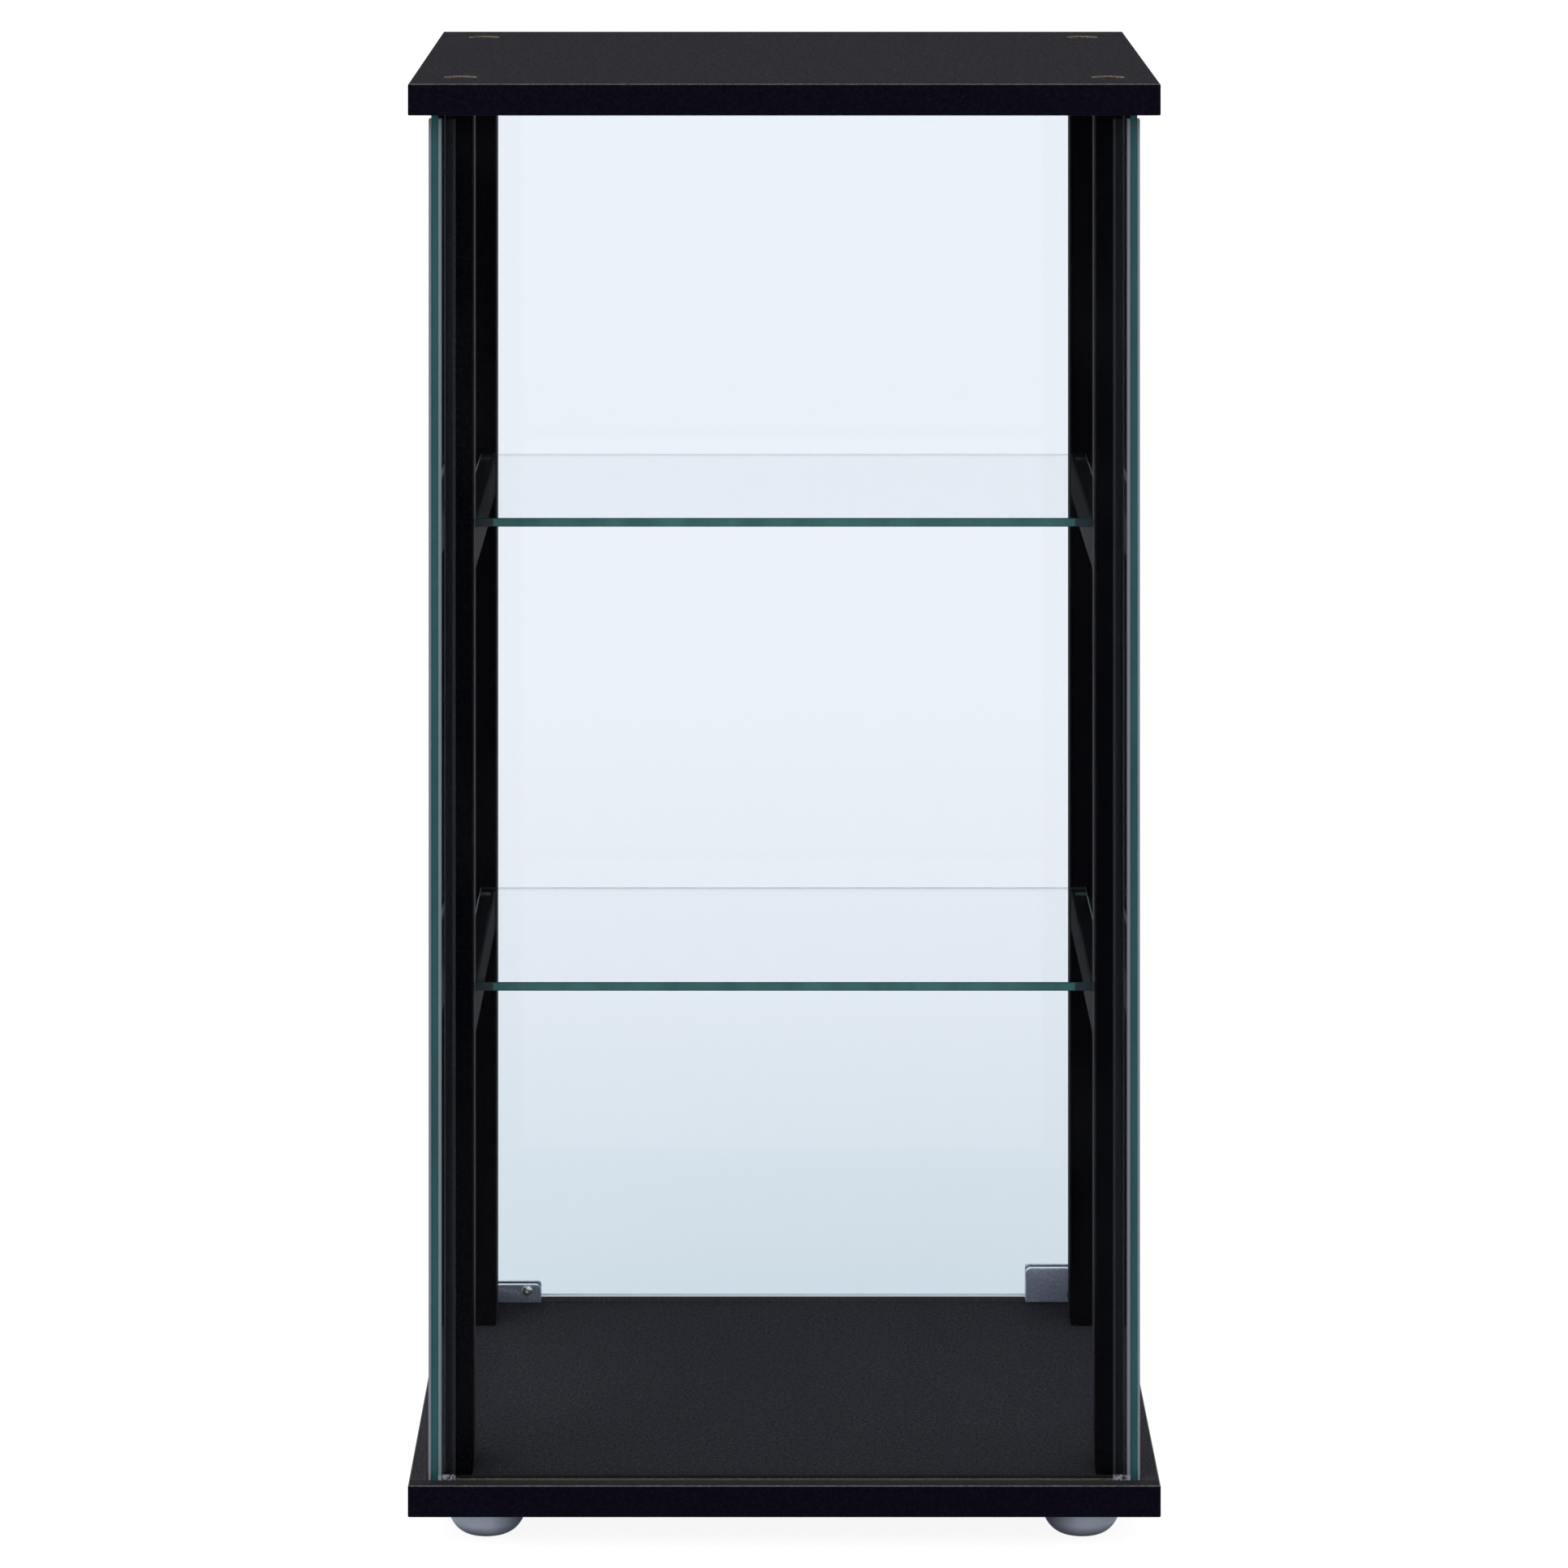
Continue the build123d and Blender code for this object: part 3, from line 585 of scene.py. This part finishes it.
def copy_with_slots(node, suffix, slot, materials, choose):
    """Copy of a CAD node in its place, with a material chosen for each face."""
    cad = NODES[node]
    mesh = cad.data.copy()
    mesh.name = node + suffix
    mesh.materials.clear()
    for material in materials:
        mesh.materials.append(material)
    for polygon in mesh.polygons:
        polygon.material_index = materials.index(choose(polygon))
    return add_object(node + suffix, mesh, cad["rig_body"], slot, node)


def softened(node, suffix, slot, materials, width):
    """Copy of a CAD node with its sharp edges rounded.

    The roundings and the faces that look up take the last material.
    """
    cad = NODES[node]
    solid = bmesh.new()
    solid.from_mesh(cad.data)
    bmesh.ops.remove_doubles(solid, verts=solid.verts, dist=1e-6)
    last = len(materials) - 1
    for face in solid.faces:
        face.material_index = last if face.normal.z > 0.9 else 0
    bmesh.ops.dissolve_limit(
        solid, angle_limit=math.radians(1), verts=solid.verts, edges=solid.edges
    )
    sharp = [edge for edge in solid.edges if edge.calc_face_angle(0) > math.radians(40)]
    bmesh.ops.bevel(
        solid,
        geom=sharp,
        offset=width,
        segments=3,
        profile=0.5,
        affect="EDGES",
        clamp_overlap=True,
        material=last,
    )
    return finish_mesh(solid, node + suffix, materials, cad["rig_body"], slot, node)


def finish_mesh(solid, name, materials, body, slot, *stands_for):
    """Turns an edited mesh into a piece, smooth except across its sharp edges."""
    bmesh.ops.recalc_face_normals(solid, faces=solid.faces)
    mesh = bpy.data.meshes.new(name)
    solid.to_mesh(mesh)
    solid.free()
    for material in materials:
        mesh.materials.append(material)
    mesh.shade_smooth()
    mesh.set_sharp_from_angle(angle=math.radians(35))
    return add_object(name, mesh, body, slot, *stands_for)


def circle(radius, height):
    """Row of a turned piece: a function from an angle to a radius and a height.

    Rows are given in millimetres and give metres.
    """
    return lambda angle: (radius * MM, height * MM)


def hexagon(half_flats, height):
    """Row with six flats."""
    step = math.pi / 3
    return lambda angle: (half_flats * MM / math.cos(angle % step - step / 2), height * MM)


def knurled(radius, height):
    """Row with shallow rounded teeth."""
    teeth, depth = 24, 0.12
    return lambda angle: (
        (radius - depth / 2 * (1 - math.cos(teeth * angle))) * MM, height * MM
    )


def cross(arm, half_width, height):
    """Row in the shape of a plus sign."""

    def row(angle):
        fold = angle % (math.pi / 2)
        fold = min(fold, math.pi / 2 - fold)
        if math.tan(fold) * arm < half_width:
            return arm * MM / math.cos(fold), height * MM
        return half_width * MM / math.sin(fold), height * MM

    return row


def turned(rows, closed=False, steps=48, corner=0.0):
    """Mesh of rings joined in order; either its ends are filled or it closes on itself.

    A corner angle, in radians, is repeated on both sides of each quarter turn.
    """
    turn = 2 * math.pi
    angles = {round(turn * step / steps, 9) for step in range(steps)}
    if corner:
        for quarter in range(4):
            for sign in (-1, 1):
                angles.add(round((quarter * math.pi / 2 + sign * corner) % turn, 9))
    angles = sorted(angles)
    solid = bmesh.new()
    rings = []
    for row in rows:
        ring = []
        for angle in angles:
            radius, height = row(angle)
            place = (radius * math.cos(angle), radius * math.sin(angle), height)
            ring.append(solid.verts.new(place))
        rings.append(ring)
    pairs = list(zip(rings, rings[1:]))
    if closed:
        pairs.append((rings[-1], rings[0]))
    for lower, upper in pairs:
        for here in range(len(angles)):
            after = (here + 1) % len(angles)
            solid.faces.new((lower[here], lower[after], upper[after], upper[here]))
    if not closed:
        solid.faces.new(rings[0])
        solid.faces.new(rings[-1])
    return solid


def placed(solid, towards, place, turn=0.0):
    """Points a turned piece's +Z along a direction and moves its origin to a place."""
    spin = Matrix.Rotation(turn, 4, "Z")
    aim = Vector(towards).to_track_quat("Z", "Y").to_matrix().to_4x4()
    solid.transform(Matrix.Translation(place) @ aim @ spin)
    return solid


def paint(material, *nodes):
    """Gives CAD nodes a finished material on their own slots."""
    for node in nodes:
        for slot in NODES[node].material_slots:
            slot.material = material


# --------------------------------------------------------------------- pieces


def make_boards():
    """Boards whose grooves and holes show bare fibreboard and whose rounded upper edges get a
    painted highlight.
    """
    materials = (FILM_PAINTED_LIGHTER, BAND, ARRIS_HIGHLIGHT, RAW_HOLE, RAW_GROOVE, FILM_DRILLED)
    touching = 0.05 * MM
    near = 1.0 * MM

    def choose(polygon):
        centre = polygon.center
        flat = max(abs(value) for value in polygon.normal) > 0.995
        from_sides = min(abs(abs(centre.x) - high.x), abs(abs(centre.y) - high.y))
        if flat and abs(centre.z - outer_z) < touching:
            return FILM_DRILLED
        if flat and abs(centre.z - inner_z) < touching:
            return FILM_PAINTED_LIGHTER
        if from_sides < near:
            # Painted highlight on rounded edges that face up
            return ARRIS_HIGHLIGHT if polygon.normal.z > 0.3 else BAND
        from_bolt = min((centre.xy - bolt.xy).length for bolt in BOLT_CENTRES)
        return RAW_HOLE if from_bolt < COUNTERBORE_RADIUS + near else RAW_GROOVE

    for node in ("base_board", "top_board"):
        low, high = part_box(node)
        outer_z, inner_z = (low.z, high.z) if node == "base_board" else (high.z, low.z)
        copy_with_slots(node, "_laminated", "black_laminate", materials, choose)


def make_glass():
    """Sheets with clear faces, green ground edges and darker arrises."""
    sheets = (
        ("front_glass", Y, FRONT_FACE, FRONT_EDGE),
        ("side_glass_left", X, PANE_FACE, GLASS_EDGE),
        ("side_glass_right", X, PANE_FACE, GLASS_EDGE),
        ("door_glass", Y, DOOR_FACE, GLASS_EDGE),
        ("shelf_lower", Z, SHELF_FACE, SHELF_EDGE),
        ("shelf_upper", Z, SHELF_FACE, SHELF_EDGE),
    )

    def choose(polygon):
        across = abs(polygon.normal[thin_axis])
        if across > 0.99:
            return face
        if node == "door_glass" and polygon.normal.z < -0.3:
            return LIT_EDGE
        if thin_axis == Z and polygon.normal.y > 0.3:
            return SHELF_REAR
        return edge if across < 0.01 or node == "front_glass" else GLASS_ARRIS

    for node, thin_axis, face, edge in sheets:
        materials = (face, edge, GLASS_ARRIS, LIT_EDGE, SHELF_REAR)
        copy_with_slots(node, "_sheet", "clear_glass", materials, choose)


def make_strips():
    """Clear lip, and legs that look cloudy because they are seen edge on."""

    def choose(polygon):
        return STRIP_ENDS if abs(polygon.normal.y) > 0.5 else STRIP_CLEAR

    for node in ("corner_strip_left", "corner_strip_right"):
        copy_with_slots(node, "_clear", "clear_plastic", (STRIP_CLEAR, STRIP_ENDS), choose)


def bolt_mesh():
    """Socket-head bolt with its seat at height 0 and its head upwards."""
    shank, length = 3.0, 25.0
    head, top = 5.0, 6.0
    socket, floor = 2.5, 3.1
    return turned(
        (
            circle(shank - 0.4, -length),
            circle(shank, 0.5 - length),
            circle(shank, 0.0),
            circle(head - 0.2, 0.0),
            knurled(head, 0.2),
            knurled(head, top - 0.8),
            circle(head - 0.25, top - 0.3),
            circle(head - 0.6, top),
            hexagon(socket + 0.25, top),
            hexagon(socket, top - 0.3),
            hexagon(socket, floor),
            circle(0.3, floor - 0.6),
        )
    )


def washer_mesh():
    """Washer that lies on height 0, rounded where it was punched."""
    bore, outer, thickness, rounding = 3.2, WASHER_RADIUS / MM, 1.5, 0.2
    return turned(
        (
            circle(bore, 0.0),
            circle(outer - rounding, 0.0),
            circle(outer, rounding),
            circle(outer, thickness - rounding),
            circle(outer - rounding, thickness),
            circle(bore + rounding, thickness),
            circle(bore, thickness - rounding),
        ),
        closed=True,
    )


def make_bolts():
    """Bolts and their washers in the counterbores, each bolt tightened to its own angle."""
    first_turn, turn_step = 0.4, 1.3
    for board, outward in (("base", -1), ("top", 1)):
        low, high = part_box(board + "_washers")
        inner_z, outer_z = (low.z, high.z) if outward > 0 else (high.z, low.z)
        towards = (0, 0, outward)
        for number, centre in enumerate(BOLT_CENTRES, 1):
            turn = first_turn + turn_step * number + outward
            seat = (centre.x, centre.y, outer_z)
            finish_mesh(
                placed(bolt_mesh(), towards, seat, turn), f"{board}_bolt_{number}", (ZINC,),
                "case", "zinc_steel", board + "_bolts",
            )
            below = (centre.x, centre.y, inner_z)
            finish_mesh(
                placed(washer_mesh(), towards, below), f"{board}_washer_{number}", (ZINC,),
                "case", "zinc_steel", board + "_washers",
            )


def phillips_screw(head_radius, head_height, shank_radius, shank_length):
    """Domed cross-head screw with its seat at height 0 and its head upwards."""
    arm_share, half_width_share = 0.58, 0.13
    arm, half_width = arm_share * head_radius, half_width_share * head_radius
    rows = [
        circle(0.4 * shank_radius, -shank_length),
        circle(shank_radius, -0.85 * shank_length),
        circle(shank_radius, 0.0),
        circle(0.95 * head_radius, 0.0),
    ]
    dome_end = math.radians(72)
    rim_share, dome_share = 0.25, 0.79
    last_step = 0.66
    for step in (0.06, 0.14, 0.22, 0.3, 0.38, 0.46, 0.54, 0.6, last_step):
        swing = step / last_step * dome_end
        rise = rim_share + dome_share * math.sin(swing)
        rows.append(circle(head_radius * math.cos(swing), head_height * rise))
    rows += [
        cross(arm, half_width, 0.999 * head_height),
        cross(0.55 * arm, 0.7 * half_width, 0.32 * head_height),
        circle(0.06 * head_radius, 0.16 * head_height),
    ]
    return turned(rows, corner=math.atan(half_width_share / arm_share))


def make_screws():
    """Screws in the hinge clips and in the feet, each foot's at its own angle."""
    clip_head = 3.4
    low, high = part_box("hinge_screws")
    for level in ("lower", "upper"):
        clip_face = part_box("hinge_clip_" + level)[0].y
        height = low.z + clip_head * MM if level == "lower" else high.z - clip_head * MM
        seat = ((low.x + high.x) / 2, clip_face, height)
        screw = phillips_screw(clip_head, head_height=1.8, shank_radius=2.0, shank_length=3.0)
        finish_mesh(
            placed(screw, (0, -1, 0), seat, math.radians(30)), "hinge_screw_" + level,
            (CHROME,), "door", "chrome_screw", "hinge_screws",
        )
    foot_head, foot_head_height, turn_per_metre = 4.2, 2.6, 9.0
    seat_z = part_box("foot_screws")[0].z + foot_head_height * MM
    for foot in FEET:
        low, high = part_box(foot)
        centre = (low + high) / 2
        seat = (centre.x, centre.y, seat_z)
        screw = phillips_screw(
            foot_head, foot_head_height, shank_radius=2.0, shank_length=22.0
        )
        finish_mesh(
            placed(screw, (0, 0, -1), seat, centre.x * turn_per_metre),
            foot.replace("foot", "foot_screw"), (ZINC,), "case", "zinc_steel", "foot_screws",
        )


def make_feet():
    """Domed feet with a moulded seam under the rim and a chamfered screw recess."""
    outer, flat, dome_top, top = 23.0, 10.0, 18.0, 21.0
    bore, recess, recess_top, chamfer = 2.3, 5.5, 11.0, 0.5
    seam_depth, rounding = 0.3, 0.3
    rows = [
        circle(bore, top),
        circle(bore, recess_top),
        circle(recess, recess_top),
        circle(recess, chamfer),
        circle(recess + chamfer, 0.0),
        circle(flat - 0.4, 0.0),
    ]
    steps = 16
    for step in range(1, steps + 1):
        swing = math.pi / 2 * step / steps
        radius = flat + (outer - flat) * math.sin(swing)
        rows.append(circle(radius, dome_top * (1 - math.cos(swing))))
    rows += [
        circle(outer - seam_depth, dome_top + 0.2),
        circle(outer - seam_depth, dome_top + 0.5),
        circle(outer, dome_top + 0.7),
        circle(outer, top - rounding),
        circle(outer - rounding, top),
    ]
    for foot in FEET:
        low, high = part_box(foot)
        place = ((low.x + high.x) / 2, (low.y + high.y) / 2, low.z)
        solid = placed(turned(rows, closed=True, steps=96), (0, 0, 1), place)
        finish_mesh(solid, foot + "_moulded", (FOOT_PLASTIC,), "case", "grey_plastic", foot)


def make_pads():
    """Soft domed pads between the shelves and their rails."""
    radius, thickness = 4.0, 1.0
    rows = (
        circle(radius - 0.1, 0.0),
        circle(radius, 0.1),
        circle(radius - 0.05, 0.5),
        circle(radius - 0.3, thickness - 0.2),
        circle(radius - 0.8, thickness),
        circle(0.5, thickness),
    )
    for level in ("lower", "upper"):
        node = "shelf_pads_" + level
        low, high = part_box(node)
        inset = radius * MM
        places = [
            (x, y, low.z)
            for x in (low.x + inset, high.x - inset)
            for y in (low.y + inset, high.y - inset)
        ]
        for number, place in enumerate(places, 1):
            finish_mesh(
                placed(turned(rows), (0, 0, 1), place), f"shelf_pad_{level}_{number}",
                (RUBBER,), "case", "clear_rubber", node,
            )


def make_metalwork():
    """Clips whose rounded edges and upward faces take a painted highlight, and the latch's
    moulded parts.
    """
    for node in ("hinge_clip_lower", "hinge_clip_upper", "strike_plate"):
        softened(node, "_cast", "grey_metal", (HINGE_METAL, HINGE_HIGHLIGHT), 0.7 * MM)
    for node in ("latch_body", "latch_plunger"):
        softened(node, "_moulded", "black_plastic", (BLACK_PLASTIC,), 0.2 * MM)


def paint_cad_nodes():
    """Finished materials for the CAD nodes whose shape is right as it is."""
    for node in NODES:
        if node.startswith("shelf_rail"):
            paint(RAIL_FILM, node)
        if node.startswith(("post_front", "post_rear")):
            paint(POST_FILM, node)
    paint(RUBBER, "hinge_liners", "strike_liner")
    paint(ZINC, "post_inserts", "hinge_pin_lower", "hinge_pin_upper")
    paint(ZINC, "latch_spring", "latch_magnet")
    paint(BLACK_PLASTIC, "pivot_bush_lower", "pivot_bush_upper")
    paint(BEECH, "frame_dowels")


# ---------------------------------------------------------------------- studio


def make_floor():
    """Pale matt floor with a glow of its own, so that it stays white.

    The glow is a little weaker near the case, a painted shade round it, and doesn't light it from
    below.
    """
    s = Shader("pale_floor")
    grain = s.noise(6, 2)
    white = s.colour(grain, (FLOOR_ALBEDO,) * 3, (FLOOR_ALBEDO * 1.01,) * 3)
    matt = s.add("ShaderNodeBsdfDiffuse", Color=white).outputs[0]
    away = s.add("ShaderNodeVectorMath", {"operation": "LENGTH"}, Vector=s.place).outputs["Value"]
    lighting = s.add("ShaderNodeLightPath").outputs["Is Diffuse Ray"]
    seen = s.math("SUBTRACT", 1.0, lighting)
    strength = s.math("MULTIPLY", s.span(away, FLOOR_GLOW_RADII, FLOOR_GLOW), seen)
    glow = s.add("ShaderNodeEmission", Color=(1, 1, 1, 1), Strength=strength).outputs[0]
    both = s.add("ShaderNodeAddShader")
    s.set(both.inputs[0], matt)
    s.set(both.inputs[1], glow)
    material = s.done(both.outputs[0])
    mesh = bpy.data.meshes.new("floor")
    corners = [(-1, -1), (1, -1), (1, 1), (-1, 1)]
    mesh.from_pydata(
        [(x * FLOOR_HALF_SIZE, y * FLOOR_HALF_SIZE, 0.0) for x, y in corners], [], [(0, 1, 2, 3)]
    )
    mesh.materials.append(material)
    floor = bpy.data.objects.new("floor", mesh)
    bpy.context.scene.collection.objects.link(floor)


def make_world():
    """White studio whose brightness depends on the direction."""
    world = bpy.data.worlds.new("studio")
    world.use_nodes = True
    tree = world.node_tree
    direction = tree.nodes.new("ShaderNodeTexCoord").outputs["Generated"]
    parts = tree.nodes.new("ShaderNodeSeparateXYZ")
    tree.links.new(direction, parts.inputs[0])

    def brightness(axis, source, target):
        fall = tree.nodes.new("ShaderNodeMapRange")
        tree.links.new(parts.outputs[axis], fall.inputs["Value"])
        for name, value in zip(("From Min", "From Max", "To Min", "To Max"), source + target):
            fall.inputs[name].default_value = value
        return fall.outputs["Result"]

    def combined(operation, first, second):
        node = tree.nodes.new("ShaderNodeMath")
        node.operation = operation
        tree.links.new(first, node.inputs[0])
        tree.links.new(second, node.inputs[1])
        return node.outputs[0]

    strength = combined(
        "MAXIMUM", brightness(*SKY_FRONT_TO_REAR), brightness(*SKY_LOW_TO_HIGH)
    )
    strength = combined("MULTIPLY", strength, brightness(*SKY_LEFT_TO_RIGHT))
    background = tree.nodes["Background"]
    background.inputs["Color"].default_value = (1, 1, 1, 1)
    tree.links.new(strength, background.inputs["Strength"])
    bpy.context.scene.world = world


def make_sun(name, azimuth, elevation, width, strength):
    """Large soft light far away, so that it falls evenly on the floor.

    Its azimuth goes from the front towards the right. Angles are in degrees.
    """
    data = bpy.data.lights.new(name, "SUN")
    data.angle = math.radians(width)
    data.energy = strength
    light = bpy.data.objects.new(name, data)
    turn = math.radians(azimuth)
    rise = math.radians(elevation)
    towards = Vector(
        (math.sin(turn) * math.cos(rise), -math.cos(turn) * math.cos(rise), math.sin(rise))
    )
    light.rotation_mode = "QUATERNION"
    light.rotation_quaternion = towards.to_track_quat("Z", "Y")
    bpy.context.scene.collection.objects.link(light)


def make_camera():
    """View camera: upright film behind a lens that looks down, so verticals stay parallel.

    The holder's own Y axis stands upright and its Z axis points back along the line of
    sight. The camera keeps no lens shift.
    """
    holder = bpy.data.objects.new("camera_holder", None)
    data = bpy.data.cameras.new("camera")
    data.lens = CAMERA_LENS
    camera = bpy.data.objects.new("camera", data)
    for item in (holder, camera):
        bpy.context.scene.collection.objects.link(item)
    camera.parent = holder
    right, up, back = Vector((1, 0, 0)), Vector((0, 0, 1)), -Vector(CAMERA_AIM)
    axes = Matrix((right, up, back)).transposed().to_4x4()
    camera.matrix_parent_inverse = Matrix.Translation(CAMERA_PLACE) @ axes
    bpy.context.scene.camera = camera


def set_light_paths():
    """Enough steps for light that crosses every sheet, and plain photographic tones."""
    scene = bpy.context.scene
    scene.cycles.transparent_max_bounces = 32
    scene.cycles.max_bounces = 12
    scene.view_settings.view_transform = "Standard"


make_boards()
make_glass()
make_strips()
make_bolts()
make_screws()
make_feet()
make_pads()
make_metalwork()
paint_cad_nodes()
make_floor()
make_world()
make_sun("key_light", azimuth=-40, elevation=42, width=45, strength=0.8)
make_sun("fill_light", azimuth=60, elevation=50, width=80, strength=0.1)
make_camera()
set_light_paths()
